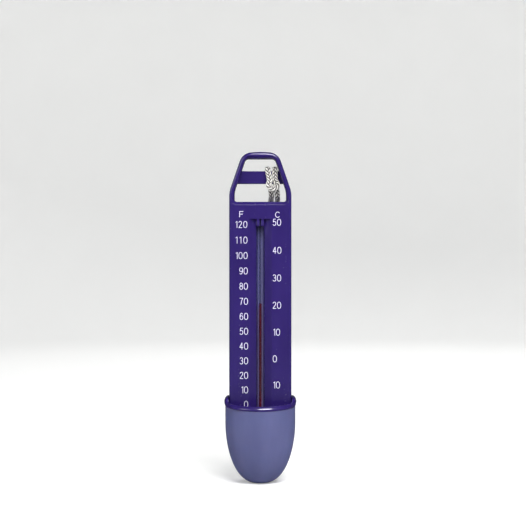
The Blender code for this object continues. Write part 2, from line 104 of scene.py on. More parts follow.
TONGUE_CORNER_RADIUS = 1.6 * MM
TONGUE_STEP = 1.2 * MM
SHOULDER_Z = 145 * MM
SHOULDER_RADIUS = 14 * MM
LOOP_CORNER_X = 8.9 * MM
LOOP_CORNER_DROP = 0.36 * MM
LOOP_CORNER_RADIUS = 6.5 * MM
CROWN_RISE = 0.24 * MM
CROWN_RADIUS = 40 * MM
# Right-hand corners of the hand loop's opening, bottom to top: x, z and rounding
WINDOW_CORNERS = [(12.95 * MM, 140.0 * MM, 1.2 * MM), (12.95 * MM, 145.2 * MM, 12 * MM),
                  (7.3 * MM, 161.6 * MM, 2.0 * MM)]

EDGE_RADIUS = 1.05 * MM
# The front edges' shape by height in mm: how much larger than EDGE_RADIUS, and a power that turns the
# rounding into a chamfer as it grows from 1; first round the outside, then round the window
EDGE_SHAPES = ([(142, 1.0, 1.0), (149, 1.2, 1.0), (157, 1.2, 1.0), (162, 1.6, 1.0)],
               [(140.4, 1.6, 1.7), (143.5, 1.15, 1.0), (157, 0.95, 1.0), (162, 1.0, 1.0)])

CUP_HALF_WIDTH = CUP_HI[0]
CUP_FRONT_DEPTH = -CUP_LO[1]
CUP_BACK_DEPTH = CUP_HI[1]
CUP_WALL = 1.6 * MM
CUP_CORNER_RADIUS = 4.9 * MM
CUP_BELLY_Z = 29.4 * MM
CUP_RIM_Z = CUP_HI[2]
CUP_RIM_SLOPE = 0.08
CUP_EAR_HEIGHT = 1.8 * MM
CUP_EAR_REACH = 5.0 * MM
CUP_BACK_CURVE_Z = 10.0 * MM
CUP_INSIDE_RISE = 1.5 * MM  # how far the inside's curve sits above the outside's
CUP_FLOOR_Z = 1.9 * MM
CUP_HEIGHT_POWER = 1.85
CUP_WIDTH_POWER = 2.6
FOOT_CUT = 0.6 * MM  # how much of the cup's curve the flat foot takes off
BEAD_LOW = 2.6 * MM  # how far below the rim the bead starts, outside and then inside
BEAD_INSIDE_LOW = 1.6 * MM
# The rim's bead in mm, outside, over the top and down inside: how far out, and how far below the top
BEAD_PROFILE = [(0.0, 2.30), (0.10, 2.15), (0.32, 2.02), (0.46, 1.85), (0.50, 1.65), (0.47, 1.45),
                (0.40, 1.27), (0.31, 1.09), (0.17, 0.87), (0.0, 0.63), (-0.20, 0.39), (-0.39, 0.17),
                (-0.58, 0.03), (-0.8, 0.0), (-1.1, 0.03), (-1.38, 0.16), (-1.54, 0.42), (-1.6, 0.85)]

BAR_Z = 152.45 * MM
BAR_HEIGHT = 6.5 * MM
BAR_FRONT_Y = 5.0 * MM
BAR_THICKNESS = 2.5 * MM
BAR_REAR_Y = BAR_FRONT_Y + BAR_THICKNESS
BAR_HALF_LENGTH_LOW = 13.3 * MM
BAR_HALF_LENGTH_HIGH = 11.1 * MM
BAR_EDGE_RADIUS = 0.4 * MM

CORD_HALF_WIDTH = 1.46 * MM
CORD_HALF_THICKNESS = 1.15 * MM
CORD_CLEARANCE = 1.34 * MM
# Height and middle of the doubled cord in mm: it leans to the right on its way down from the bar
CORD_LEAN = [(138.0, 6.8), (141.0, 7.1), (143.4, 7.2), (147.3, 6.5), (156.5, 5.45)]
STRAND_OFFSET = 1.75 * MM
TAIL_X = (STRAND_LO[0] + STRAND_HI[0]) / 2 + STRAND_OFFSET
TAIL_Y = (STRAND_LO[1] + STRAND_HI[1]) / 2
TOP_CUT_Z = 121 * MM  # where one cord piece ends and the next begins
LOW_CUT_Z = 80 * MM
KNOT_Z = 58.2 * MM
KNOT_RADIUS = 1.9 * MM
TIP_Z = 49.0 * MM

CLEAR_TINTS = ((0.90, 0.94, 0.97), (0.96, 0.98, 1.0))
BORE_TINTS = ((0.90, 0.92, 0.95), (0.95, 0.97, 1.0))


# ---- Node materials

class Shader:
    """A Principled material and short ways to wire nodes into it."""

    def __init__(self, name, **values):
        self.material = bpy.data.materials.new(name)
        self.material.use_nodes = True
        self.tree = self.material.node_tree
        self.bsdf = self.tree.nodes["Principled BSDF"]
        for key, value in values.items():
            self.bsdf.inputs[key.replace("_", " ")].default_value = value
        self.place = self.node("ShaderNodeTexCoord").outputs["Object"]
        self.surface = self.bsdf.outputs[0]

    def node(self, kind, inputs=None, **settings):
        """A new node; each input takes a socket or a plain value."""
        made = self.tree.nodes.new(kind)
        for key, value in settings.items():
            setattr(made, key, value)
        for key, value in (inputs or {}).items():
            if isinstance(value, bpy.types.NodeSocket):
                self.tree.links.new(value, made.inputs[key])
            else:
                made.inputs[key].default_value = value
        return made

    def noise(self, scale, detail=3.0, stretch=(1, 1, 1), roughness=0.55, source=None):
        """Noise of so many cells a metre, fewer along an axis whose stretch is below 1."""
        moved = self.node("ShaderNodeMapping", {"Vector": source or self.place, "Scale": stretch})
        texture = self.node("ShaderNodeTexNoise", {"Vector": moved.outputs[0], "Scale": scale,
                                                   "Detail": detail, "Roughness": roughness})
        return texture.outputs["Fac"]

    def span(self, value, low, high, start=0.3, end=0.7):
        """Runs from low to high as value runs from start to end, and stays there beyond."""
        made = self.node("ShaderNodeMapRange", {"Value": value, "From Min": start, "From Max": end,
                                                "To Min": low, "To Max": high})
        return made.outputs[0]

    def mix(self, share, first, second):
        """The first colour where share is 0, the second where it is 1."""
        made = self.node("ShaderNodeMix", data_type="RGBA")
        for socket, value in ((0, share), (6, first), (7, second)):
            if isinstance(value, bpy.types.NodeSocket):
                self.tree.links.new(value, made.inputs[socket])
            else:
                made.inputs[socket].default_value = (*value, 1) if socket else value
        return made.outputs[2]

    def maths(self, operation, first, second):
        return self.node("ShaderNodeMath", {0: first, 1: second}, operation=operation).outputs[0]

    def slant(self):
        """0 where the surface faces the eye, 1 where it turns edge on."""
        return self.node("ShaderNodeLayerWeight", {"Blend": 0.5}).outputs["Facing"]

    def across(self):
        """The x coordinate in metres."""
        return self.node("ShaderNodeSeparateXYZ", {0: self.place}).outputs["X"]

    def link(self, key, socket):
        self.tree.links.new(socket, self.bsdf.inputs[key])

    def bump(self, layers):
        """Stacks bump layers of (height socket, distance in metres)."""
        normal = None
        for height, distance in layers:
            made = self.node("ShaderNodeBump", {"Height": height, "Distance": distance})
            if normal:
                self.tree.links.new(normal, made.inputs["Normal"])
            normal = made.outputs[0]
        self.link("Normal", normal)


def moulded_blue():
    """Glossy injection moulding: soft flow clouding, orange peel and a few fine rub marks."""
    s = Shader("deep_blue_plastic_look", IOR=1.49, Coat_Weight=0.6, Coat_Roughness=0.10)
    cloud = s.noise(70, 2, (1, 1, 0.35))
    s.link("Base Color", s.mix(s.span(cloud, 0, 1), (0.0195, 0.0088, 0.104), (0.0260, 0.0128, 0.130)))
    rub = s.noise(260, 4, (1, 1, 0.06), 0.7)
    gloss = s.span(s.noise(900, 2), 0.20, 0.27)
    s.link("Roughness", s.maths("ADD", gloss, s.span(rub, 0, 0.06, 0.55, 0.8)))
    s.bump([(s.noise(420, 2), 0.00001), (s.noise(2600, 3), 0.000004)])
    return s.material


def frosted_blue():
    """The cup: the same resin with a fine spark-eroded texture; its base colour is painted paler, a
    painted reflection of a hazy veil of light.
    """
    s = Shader("cup_plastic_look", IOR=1.49, Subsurface_Weight=0.15, Subsurface_Scale=0.0015)
    cloud = s.noise(90, 3, (1, 1, 0.3))
    # Painted reflection: these colours are far paler than the body's resin, standing for a veil of
    # reflected light.
    s.link("Base Color", s.mix(s.span(cloud, 0, 1), (0.079, 0.087, 0.217), (0.103, 0.112, 0.262)))
    s.link("Roughness", s.span(s.noise(1400, 3), 0.40, 0.52))
    s.bump([(s.noise(5200, 3, roughness=0.7), 0.000012), (s.noise(240, 2), 0.00002)])
    return s.material


def output_through(s, share, other):
    """Mixes another shader node into the finished surface."""
    mixed = s.node("ShaderNodeMixShader", {0: share, 1: s.surface, 2: other.outputs[0]})
    s.surface = mixed.outputs[0]
    s.tree.links.new(s.surface, s.tree.nodes["Material Output"].inputs["Surface"])


def glass_shader(name, roughness, tints=CLEAR_TINTS):
    """Drawn glass with faint lengthwise streaks; s.tint is its colour."""
    s = Shader(name, IOR=1.47, Transmission_Weight=1.0, Roughness=roughness)
    s.tint = s.mix(s.span(s.noise(420, 2, (1, 1, 0.03)), 0, 1), *tints)
    s.link("Base Color", s.tint)
    return s


def clear_glass():
    """The tube's outside: painted shade darkens it where it turns away, sooner on the right, and lamps
    shine through.
    """
    s = glass_shader("clear_glass_look", 0.02)
    # Painted shade: the glass colour falls to dark blue towards its edges, more on the right, standing
    # for the shaded groove behind it.
    edge = s.maths("ADD", s.slant(), s.span(s.across(), 0, 0.22, 0.3 * MM, 1.2 * MM))
    s.link("Base Color", s.mix(s.span(edge, 0, 1, 0.28, 0.46), s.tint, (0.10, 0.10, 0.20)))
    shadow = s.node("ShaderNodeLightPath").outputs["Is Shadow Ray"]
    output_through(s, shadow, s.node("ShaderNodeBsdfTransparent", {"Color": (0.85, 0.87, 0.9, 1)}))
    return s.material


def glass_back():
    """The tube's rear: a milky backing, lighter on the right as a painted highlight, and thin behind the
    bore.
    """
    s = glass_shader("glass_back_look", 0.10)
    across = s.across()
    # Painted highlight: the backing grows lighter towards the right, where the lamp's reflection runs
    # down the tube.
    painted_highlight = s.span(across, 0, 1, -0.5 * MM, 0.5 * MM)
    backing = s.mix(painted_highlight, (0.18, 0.175, 0.39), (0.37, 0.345, 0.60))
    middle = s.span(s.maths("ABSOLUTE", across, 0), 0.45, 1, 0.08 * MM, 0.18 * MM)
    milk = s.node("ShaderNodeBsdfDiffuse", {"Color": s.mix(middle, (0, 0, 0), backing)})
    output_through(s, 0.55, milk)
    return s.material


def bore_wall():
    """The wall of the fine bore, wetted by the spirit, so it bends light only a little."""
    s = glass_shader("glass_bore_look", 0.05, BORE_TINTS)
    output_through(s, 0.75, s.node("ShaderNodeBsdfTransparent", {"Color": (0.94, 0.95, 0.98, 1)}))
    return s.material


def red_spirit():
    """Dyed spirit: dark where the column is thick, and a clear pink at its thin edges."""
    s = Shader("red_spirit_look", IOR=1.36, Roughness=0.08)
    cloud = s.span(s.noise(400, 2), 0, 1)
    s.link("Base Color", s.mix(cloud, (0.060, 0.006, 0.012), (0.095, 0.009, 0.018)))
    thin = s.node("ShaderNodeBsdfTransparent", {"Color": (1.0, 0.76, 0.78, 1)})
    output_through(s, s.span(s.slant(), 0, 1, 0.10, 0.34), thin)
    return s.material


def soft_clear():
    """A soft, cloudy rubber."""
    s = Shader("soft_cushion_look", Subsurface_Weight=0.5, Subsurface_Scale=0.001)
    s.link("Base Color", s.mix(s.span(s.noise(500, 2), 0, 1), (0.40, 0.42, 0.46), (0.50, 0.52, 0.56)))
    s.link("Roughness", s.span(s.noise(2000, 2), 0.5, 0.7))
    return s.material


def print_ink():
    """White printing ink, a little cool and uneven."""
    s = Shader("white_ink_look", Roughness=0.45)
    s.link("Base Color", s.mix(s.span(s.noise(3000, 3), 0, 1), (0.74, 0.72, 0.90), (0.86, 0.84, 0.97)))
    s.bump([(s.noise(6000, 2), 0.000006)])
    return s.material


def braided_cord():
    """Off-white filament yarn, with painted shade in the low gaps between the yarns. The mesh carries
    its own along-yarn coordinate and its height.
    """
    s = Shader("white_cord_look", Roughness=0.38, Sheen_Weight=0.2, Sheen_Roughness=0.4)
    yarn = s.node("ShaderNodeAttribute", attribute_name="yarn").outputs["Vector"]
    height = s.node("ShaderNodeAttribute", attribute_name="height").outputs["Fac"]
    fibre = s.noise(1.0, 3, (22, 1.8, 1), 0.6, yarn)
    tint = s.mix(s.span(fibre, 0, 1, 0.35, 0.65), (0.66, 0.63, 0.60), (0.95, 0.93, 0.90))
    # Painted shade: where the relief is low, between the yarns, the colour falls to near black.
    s.link("Base Color", s.mix(s.span(height, 0, 1, 0.42, 0.82), (0.026, 0.022, 0.019), tint))
    s.bump([(fibre, 0.00008), (s.noise(1600, 2), 0.00002)])
    return s.material


BLUE = moulded_blue()
CUP_BLUE = frosted_blue()
GLASS = clear_glass()
GLASS_BACK = glass_back()
BORE = bore_wall()
SPIRIT = red_spirit()
CUSHION = soft_clear()
INK = print_ink()
CORD = braided_cord()


# ---- Meshes

def piece(name, mesh, material, body="body", replaces=(), smooth_degrees=None):
    """A finished piece that rides on a body, unless it's None, and may stand for CAD nodes."""
    mesh.name = name
    obj = bpy.data.objects.new(name, mesh)
    bpy.context.scene.collection.objects.link(obj)
    if not mesh.materials:
        mesh.materials.append(material)
    mesh.shade_smooth()
    if smooth_degrees:
        mesh.set_sharp_from_angle(angle=math.radians(smooth_degrees))
        weigh = obj.modifiers.new("flat faces stay flat", "WEIGHTED_NORMAL")
        weigh.keep_sharp = True
        weigh.weight = 80
    if body:
        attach(obj, body)
    if replaces:
        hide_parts(*replaces)
    return obj


def baked(obj):
    """The object's evaluated shape, welded, as a new mesh in world space; the object goes."""
    bpy.context.view_layer.update()
    evaluated = obj.evaluated_get(bpy.context.evaluated_depsgraph_get())
    mesh = bpy.data.meshes.new_from_object(evaluated)
    mesh.transform(obj.matrix_world)
    work = bmesh.new()
    work.from_mesh(mesh)
    bmesh.ops.remove_doubles(work, verts=work.verts, dist=1e-6)
    bmesh.ops.dissolve_degenerate(work, edges=work.edges, dist=1e-6)
    bmesh.ops.recalc_face_normals(work, faces=work.faces)
    work.to_mesh(mesh)
    work.free()
    bpy.data.objects.remove(obj)
    return mesh


def temporary(mesh):
    """An object that lasts for one Boolean."""
    obj = bpy.data.objects.new("temporary", mesh)
    bpy.context.scene.collection.objects.link(obj)
    return obj


def combined(first, second, operation):
    """The Boolean of two meshes."""
    obj, tool = temporary(first), temporary(second)
    modifier = obj.modifiers.new("boolean", "BOOLEAN")
    modifier.operation = operation
    modifier.object = tool
    mesh = baked(obj)
    bpy.data.objects.remove(tool)
    return mesh


def rounded(corners):
    """Points of a closed outline whose corners (x, z, radius) are replaced by arcs."""
    step = math.radians(5)
    points = []
    for i, (x, z, radius) in enumerate(corners):
        here = Vector((x, z))
        if radius == 0:
            points.append(here)
            continue
        before = (Vector(corners[i - 1][:2]) - here).normalized()
        after = (Vector(corners[(i + 1) % len(corners)][:2]) - here).normalized()
        half = before.angle(after) / 2
        centre = here + (before + after).normalized() * radius / math.sin(half)
        start = here + before * radius / math.tan(half) - centre
        end = here + after * radius / math.tan(half) - centre
        turn = start.angle_signed(end)
        steps = max(2, math.ceil(abs(turn) / step))
        for k in range(steps + 1):
            angle = -turn * k / steps
            points.append(centre + Vector((start.x * math.cos(angle) - start.y * math.sin(angle),
                                           start.x * math.sin(angle) + start.y * math.cos(angle))))
    return points


def both_sides(right, top=()):
    """A symmetric closed outline from its right-hand corners, bottom to top."""
    left = [(-x, z, radius) for x, z, radius in reversed(right)]
    return rounded([*right, *top, *left])


def plate(outlines, front_y, back_y, edge_radius=0.0, resolution=5):
    """A flat plate in the XZ plane from closed outlines; the second one is a hole."""
    curve = bpy.data.curves.new("outline", "CURVE")
    curve.dimensions = "2D"
    curve.fill_mode = "BOTH"
    curve.extrude = (back_y - front_y) / 2 - edge_radius
    curve.bevel_depth = edge_radius
    curve.bevel_resolution = resolution
    curve.offset = -edge_radius
    for outline in outlines:
        spline = curve.splines.new("POLY")
        spline.points.add(len(outline) - 1)
        spline.use_cyclic_u = True
        for point, (x, z) in zip(spline.points, outline):
            point.co = (x, z, 0, 1)
    obj = bpy.data.objects.new("outline", curve)
    obj.rotation_euler = (math.radians(90), 0, 0)
    obj.location = (0, (front_y + back_y) / 2, 0)
    bpy.context.scene.collection.objects.link(obj)
    return baked(obj)


def block(low, high, edge=0.0):
    """A box between two corners, its edges rounded if edge is set."""
    work = bmesh.new()
    bmesh.ops.create_cube(work, size=1)
    bmesh.ops.scale(work, vec=Vector(high) - Vector(low), verts=work.verts)
    bmesh.ops.translate(work, vec=(Vector(high) + Vector(low)) / 2, verts=work.verts)
    if edge:
        bmesh.ops.bevel(work, geom=work.edges[:], offset=edge, segments=5, profile=0.5,
                        affect="EDGES")
    mesh = bpy.data.meshes.new("block")
    work.to_mesh(mesh)
    work.free()
    return mesh


def skin(rings, cap_end=True, joined=False):
    """A tube of quads through rings of equal length, with flat caps, or with its ends joined."""
    count = len(rings[0])
    vertices = np.array(rings, float).reshape(-1, 3)
    row = np.arange(count)
    follow = (row + 1) % count
    faces = []
    for level in range(len(rings) if joined else len(rings) - 1):
        base, above = level * count, (level + 1) % len(rings) * count
        quads = np.stack([base + row, base + follow, above + follow, above + row], axis=1)
        faces.extend(quads.tolist())
    if not joined:
        faces.append(list(range(count - 1, -1, -1)))
    if cap_end and not joined:
        last = (len(rings) - 1) * count
        faces.append([last + k for k in range(count)])
    mesh = bpy.data.meshes.new("skin")
    mesh.from_pydata(vertices.tolist(), [], faces)
    return mesh


def face_out(mesh):
    """Turns all faces outwards."""
    work = bmesh.new()
    work.from_mesh(mesh)
    bmesh.ops.recalc_face_normals(work, faces=work.faces)
    work.to_mesh(mesh)
    work.free()
    return mesh


def turned(profile, steps=64):
    """A solid turned about the tube's axis; profile holds (radius, z) from axis to axis."""
    angles = [2 * math.pi * k / steps for k in range(steps)]
    rings = []
    for radius, z in profile:
        radius = max(radius, 0.002 * MM)
        rings.append([(radius * math.cos(a), TUBE_Y + radius * math.sin(a), z) for a in angles])
    return face_out(skin(rings))


def bow(x, z, rx, rz, start, end, steps=28):
    """Part of an ellipse round (x, z) between two angles in degrees."""
    angles = [math.radians(start + (end - start) * k / steps) for k in range(steps + 1)]
    return [(x + rx * math.cos(a), z + rz * math.sin(a)) for a in angles]


def arc(centre, radius, start, end, steps=10):
    """Part of a circle between two angles in degrees."""
    return bow(*centre, radius, radius, start, end, steps)


# ---- Body moulding

def cup_share(z):
    """The cup's width at a height, as a share of its full width at the belly."""
    height = CUP_BELLY_Z + FOOT_CUT
    drop = min(1.0, max(0.0, (CUP_BELLY_Z - z) / height))
    return (1 - drop ** CUP_HEIGHT_POWER) ** (1 / CUP_WIDTH_POWER)


def tongue_side(inset, corner):
    """Right-hand corners of the body from its lower end to where it reaches full width."""
    side = []
    for k in range(16):
        z = BODY_BOTTOM_Z + inset + k * TONGUE_STEP
        clear = CUP_HALF_WIDTH * cup_share(z - CUP_INSIDE_RISE) - CUP_WALL - FIT_GAP
        side.append((min(BODY_HALF_WIDTH, clear) - inset, z, 0))
    first_x, first_z, _ = side[0]
    clear_of_corner = [point for point in side[1:] if point[1] - first_z > 1.3 * corner]
    return [(first_x, first_z, corner), *clear_of_corner]


def body_outline():
    """The body with its hand loop: tongue, shoulders, loop corners and a slight crown."""
    right = tongue_side(0, TONGUE_CORNER_RADIUS)
    right.append((BODY_HALF_WIDTH, SHOULDER_Z, SHOULDER_RADIUS))
    right.append((LOOP_CORNER_X, BODY_TOP_Z - LOOP_CORNER_DROP, LOOP_CORNER_RADIUS))
    return both_sides(right, [(0, BODY_TOP_Z + CROWN_RISE, CROWN_RADIUS)])


def chamber_outline(inset, corner):
    """The body below the loop, drawn in by inset."""
    right = tongue_side(inset, corner)
    right.append((BODY_HALF_WIDTH - inset, COVER_TOP_Z - inset, corner))
    return both_sides(right)


def channel_depth(x, z):
    """How deep the channel is: softly flared, fuller near its top, and negative outside its edge."""
    floor = GROOVE_RADIUS - 0.1 * MM
    share = min(1.0, (CHANNEL_HALF_WIDTH - abs(x)) / (CHANNEL_HALF_WIDTH - floor))
    if share > 0:
        full = min(1.0, max(0.0, (z - CHANNEL_TOP_Z + CHANNEL_OPENING) / CHANNEL_OPENING))
        share += full * full * (3 - 2 * full) * 0.6 * share * (1 - share)
    soft = max(0.0, share)
    return CHANNEL_DEPTH * (0.75 * share + 0.25 * soft * soft * (3 - 2 * soft))


def channel():
    """Cutter for the channel, its upper end rounded over to the face."""
    reach = CHANNEL_HALF_WIDTH + 0.8 * MM
    across = [reach * k / 30 for k in range(-30, 31)]
    levels = [(0.0, CHANNEL_DEPTH)]
    levels += [(CHANNEL_TOP_Z - CHANNEL_OPENING * (1 - k / 8), CHANNEL_DEPTH) for k in range(9)]
    for k in range(9):
        angle = math.radians(90 * k / 8)
        levels.append((CHANNEL_TOP_Z + 0.02 * MM + CHANNEL_EDGE_RADIUS * (1 - math.cos(angle)),
                       CHANNEL_EDGE_RADIUS * (1 - math.sin(angle)) - 0.03 * MM))
    front_y = -1.0 * MM
    rings = []
    for z, deepest in levels:
        ring = [(x, min(channel_depth(x, z), deepest), z) for x in across]
        rings.append([*ring, (reach, front_y, z), (-reach, front_y, z)])
    return face_out(skin(rings))


def rod(radius, top_z):
    """An upright cylinder round the tube's axis, from the floor up."""
    return turned([(0, top_z), (radius, top_z), (radius, 0), (0, 0)])


def finger(middle_x):
    """A small tongue that leans out over the tube's end, with a full, rounded tip."""
    back_y = TUBE_Y - TUBE_RADIUS - FIT_GAP
    rings = []
    for z, half_width, depth in FINGER_SECTIONS:
        ring = []
        for k in range(24):
            angle = 2 * math.pi * k / 24
            c, v = math.cos(angle), math.sin(angle)
            ring.append((middle_x + half_width * MM * math.copysign(abs(c) ** 0.6, c),
                         back_y - depth * MM * 0.5 * (1 + math.copysign(abs(v) ** 0.6, v)), z * MM))
        rings.append(ring)
    return face_out(skin(rings))


def nearest_point(outline, place):
    """The closest point of a closed outline, and how far off it is."""
    start = np.array([tuple(p) for p in outline])
    span = np.roll(start, -1, axis=0) - start
    share = ((place - start) * span).sum(axis=1) / np.maximum((span ** 2).sum(axis=1), 1e-15)
    points = start + np.clip(share, 0, 1)[:, None] * span
    gaps = np.linalg.norm(points - place, axis=1)
    return points[gaps.argmin()], gaps.min()


def fuller_edges(mesh, outlines):
    """Reshapes the rounding of the front edges as EDGE_SHAPES says."""
    radius = EDGE_RADIUS
    for vertex in mesh.vertices:
        if vertex.co.y > 1.01 * radius:
            continue
        place = np.array((vertex.co.x, vertex.co.z))
        found = [nearest_point(outline, place) for outline in outlines]
        near = 0 if found[0][1] < found[1][1] else 1
        point, gap = found[near]
        heights, growths, powers = zip(*EDGE_SHAPES[near])
        growth = float(np.interp(point[1] / MM, heights, growths))
        power = float(np.interp(point[1] / MM, heights, powers))
        inward = max(0.0, 1 - gap / radius) ** power
        deep = max(0.0, 1 - vertex.co.y / radius) ** power
        x, z = point + (place - point) * growth * radius * (1 - inward) / max(gap, 1e-9)
        vertex.co = (x, radius * growth * (1 - deep), z)


def make_body():
    """A plate, hollowed behind, with a rib for the tube's channel, and with its bar and fingers."""
    outlines = [body_outline(), both_sides(WINDOW_CORNERS)]
    mesh = plate(outlines, 0, LOOP_DEPTH, EDGE_RADIUS, 6)
    fuller_edges(mesh, outlines)
    cover_space = block((-BEYOND, PARTING_Y, 0), (BEYOND, BEYOND, COVER_TOP_Z + FIT_GAP))
    mesh = combined(mesh, cover_space, "DIFFERENCE")
    chamber = plate([chamber_outline(WALL, CHAMBER_CORNER)], FACE_THICKNESS, BEYOND)
    mesh = combined(mesh, chamber, "DIFFERENCE")
    rib = block((-RIB_HALF_WIDTH, FACE_THICKNESS / 2, BODY_BOTTOM_Z + WALL / 2),
                (RIB_HALF_WIDTH, PARTING_Y, COVER_TOP_Z - WALL / 2))
    mesh = combined(mesh, rib, "UNION")
    mesh = combined(mesh, channel(), "DIFFERENCE")
    mesh = combined(mesh, rod(GROOVE_RADIUS, SOCKET_TOP_Z), "DIFFERENCE")
    mesh = combined(mesh, rod(BULB_RADIUS + FIT_GAP, BULB_TOP_Z + NECK_LENGTH), "DIFFERENCE")
    bar_outline = both_sides([(BAR_HALF_LENGTH_LOW, BAR_Z - BAR_HEIGHT / 2, 0),
                              (BAR_HALF_LENGTH_HIGH, BAR_Z + BAR_HEIGHT / 2, 0)])
    mesh = combined(mesh, plate([bar_outline], BAR_FRONT_Y, BAR_REAR_Y, BAR_EDGE_RADIUS, 4), "UNION")
    for side in (-1, 1):
        mesh = combined(mesh, finger(side * FINGER_OFFSET), "UNION")
    piece("front_frame_visual", mesh, BLUE, replaces=["front_frame"],
          smooth_degrees=32)


def make_cover():
    """A tray with round back edges, open towards the body."""
    front_y = PARTING_Y + FIT_GAP
    ahead = -BEYOND / 2
    outline = chamber_outline(0, COVER_EDGE_RADIUS + 0.3 * MM)
    mesh = plate([outline], ahead, COVER_BACK_Y, COVER_EDGE_RADIUS, 8)
    mesh = combined(mesh, block((-BEYOND, -BEYOND, 0), (BEYOND, front_y, BODY_TOP_Z)), "DIFFERENCE")
    inside = chamber_outline(COVER_EDGE_RADIUS, CHAMBER_CORNER)
    mesh = combined(mesh, plate([inside], ahead, COVER_BACK_Y - WALL - 0.4 * MM), "DIFFERENCE")
    piece("rear_cover_visual", mesh, BLUE, replaces=["rear_cover"],
          smooth_degrees=32)


# ---- Cup

def cup_ring(z, inset=0.0, grow=0.0):
    """One level of the cup: half an ellipse in front, a round-cornered box behind. Inset is set for
    the inside, and grow for the rim's bead."""
    low_z = z - (CUP_INSIDE_RISE if inset else 0)
    share = cup_share(low_z)
    half_width = CUP_HALF_WIDTH * share - inset + grow
    front = CUP_FRONT_DEPTH * share - inset + grow
    drop = max(0.0, (CUP_BACK_CURVE_Z - low_z) / (CUP_BACK_CURVE_Z + FOOT_CUT))
    back = CUP_BACK_DEPTH * (1 - min(0.999, drop) ** 2) ** (1 / 3) - inset + grow
    radius = max(0.6 * MM, min(CUP_CORNER_RADIUS * share - inset + grow, half_width, back))
    ring = []
    for k in range(73):
        angle = math.pi * k / 72
        ring.append((-half_width * math.cos(angle), -front * math.sin(angle)))
    for side, start in ((1, 0), (-1, 90)):
        for k in range(15):
            angle = math.radians(start + 90 * k / 14)
            ring.append((side * (half_width - radius) + radius * math.cos(angle),
                         back - radius + radius * math.sin(angle)))
    return ring


def rim_height(y):
    """The rim has an ear on each side by the body, and dips a little towards the front."""
    forward = max(0.0, -y)
    ease = min(1.0, forward / CUP_EAR_REACH)
    return CUP_RIM_Z - CUP_EAR_HEIGHT * ease * ease * (3 - 2 * ease) - CUP_RIM_SLOPE * forward


def make_cup():
    """Outer skin from the foot up, round the beaded rim, and down the inside."""
    rings = []
    for k in range(27):
        z = CUP_BELLY_Z * (1 - math.cos(math.pi / 2 * k / 26))
        rings.append([(x, y, z) for x, y in cup_ring(z)])
    for share in (0.25, 0.5, 0.75, 1.0):
        rings.append([(x, y, CUP_BELLY_Z + share * (rim_height(y) - BEAD_LOW - CUP_BELLY_Z))
                      for x, y in cup_ring(CUP_BELLY_Z)])
    bead_start = len(rings)
    for grow, drop in BEAD_PROFILE:
        rings.append([(x, y, rim_height(y) - drop * MM)
                      for x, y in cup_ring(CUP_BELLY_Z, grow=grow * MM)])
    bead_end = len(rings)
    for k in range(24):
        share = math.sin(math.pi / 2 * (k + 1) / 24)
        z = max(CUP_FLOOR_Z, (1 - share) * CUP_RIM_Z)
        rings.append([(x, y, (1 - share) * (rim_height(y) - BEAD_INSIDE_LOW) + share * CUP_FLOOR_Z)
                      for x, y in cup_ring(z, inset=CUP_WALL)])
    mesh = face_out(skin(rings))
    count = len(rings[0])
    mesh.materials.append(CUP_BLUE)
    mesh.materials.append(BLUE)
    for polygon in mesh.polygons:
        if all(bead_start <= v // count < bead_end for v in polygon.vertices):
            polygon.material_index = 1
    piece("scoop_cup_visual", mesh, CUP_BLUE, replaces=["scoop_cup"],
          smooth_degrees=50)


# ---- Glass and spirit

def bulb_profile(radius, bottom_z, top_z, neck_radius):
    """From the neck down and round the bulb to its lowest point."""
    neck = [(neck_radius, top_z + NECK_LENGTH)]
    for k in range(1, 9):
        ease = (1 - math.cos(math.pi * k / 8)) / 2
        neck.append((neck_radius + (radius - neck_radius) * ease, top_z + NECK_LENGTH * (1 - k / 8)))
    return neck + [*arc((0, bottom_z + radius), radius, 0, -88, 12), (0, bottom_z)]


def make_tube():
    """The tube with its bore and bulb, the spirit in the bulb, and the column above it."""
    dome = arc((TUBE_RADIUS - TUBE_END_RADIUS, TUBE_HI[2] - TUBE_END_RADIUS), TUBE_END_RADIUS, 90, 0)
    outside = bulb_profile(BULB_RADIUS, TUBE_LO[2], BULB_TOP_Z, TUBE_RADIUS)
    inside = bulb_profile(BULB_RADIUS - GLASS_WALL, TUBE_LO[2] + GLASS_WALL, BULB_TOP_Z, BORE_RADIUS)
    mesh = turned([*reversed(inside), (BORE_RADIUS, TUBE_HI[2]), *dome, *outside], 72)
    for material in (GLASS, BORE, GLASS_BACK):
        mesh.materials.append(material)
    for polygon in mesh.polygons:
        x, y, z = polygon.center
        if math.hypot(x, y - TUBE_Y) < BORE_RADIUS + SPIRIT_GAP and z > BULB_TOP_Z:
            polygon.material_index = 1
        elif y - TUBE_Y > 0.45 * TUBE_RADIUS and z > BULB_TOP_Z + NECK_LENGTH:
            polygon.material_index = 2
    piece("glass_tube_visual", mesh, GLASS, replaces=["glass_tube"], smooth_degrees=40)
    radius = BORE_RADIUS - SPIRIT_GAP
    level = THREAD_HI[2]
    bulb = bulb_profile(BULB_RADIUS - GLASS_WALL - 2 * SPIRIT_GAP, BULB_LO[2],
                        BULB_TOP_Z - 2 * SPIRIT_GAP, radius)
    piece("bulb_spirit_visual", turned([(0, bulb[0][1]), *bulb], 48), SPIRIT,
          replaces=["bulb_spirit"], smooth_degrees=40)
    meniscus = [(0, level), (radius * 0.5, level - 0.03 * MM), (radius * 0.85, level - 0.14 * MM),
                (radius, level - 0.4 * MM)]
    low = THREAD_LO[2]
    thread = piece("spirit_thread_visual", turned([*meniscus, (radius, low), (0, low)], 48), SPIRIT,
                   body=None, replaces=["spirit_thread"], smooth_degrees=40)
    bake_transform(thread)


